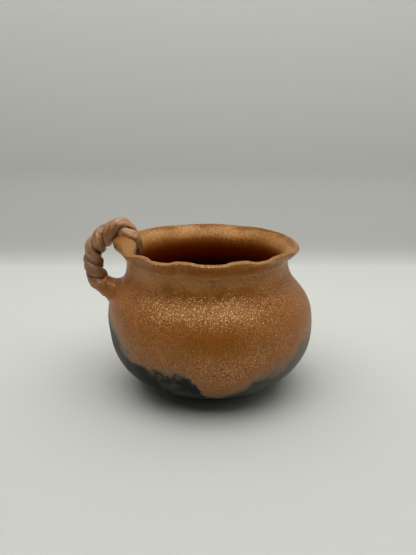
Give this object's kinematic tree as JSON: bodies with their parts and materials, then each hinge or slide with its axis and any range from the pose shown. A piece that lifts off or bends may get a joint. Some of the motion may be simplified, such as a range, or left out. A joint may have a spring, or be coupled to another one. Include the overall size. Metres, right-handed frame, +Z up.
{
  "type": "bean pot",
  "caption": "Round-bellied micaceous clay bean pot with a flared, ruffled rim and a twisted rope handle from shoulder to rim.",
  "frame": {"origin": "centre of the flat that the pot stands on", "axes": "+Z up, the handle on the -X side, the pictured side facing -Y"},
  "size_m": [0.1674, 0.15, 0.1262],
  "materials": {
    "wall_clay": "low-fired micaceous clay, burnished with a mica slip, golden brown with a fine glitter",
    "rim_clay": "the same micaceous slip, rubbed smoother and lighter along the lip",
    "base_clay": "micaceous clay smoked grey-black by fire clouds",
    "rope_clay": "hand-rolled micaceous clay, matt brown, less rubbed in the grooves"
  },
  "bodies": {
    "root": {"base_slab": "base_clay", "wall_coil_1": "wall_clay", "wall_coil_2": "wall_clay", "wall_coil_3": "wall_clay", "wall_coil_4": "wall_clay", "wall_coil_5": "wall_clay", "wall_coil_6": "wall_clay", "rim_coil": "rim_clay", "lower_handle_wad": "rope_clay", "upper_handle_wad": "rim_clay", "handle_strand_a": "rope_clay", "handle_strand_b": "rope_clay"}
  },
  "joints": []
}
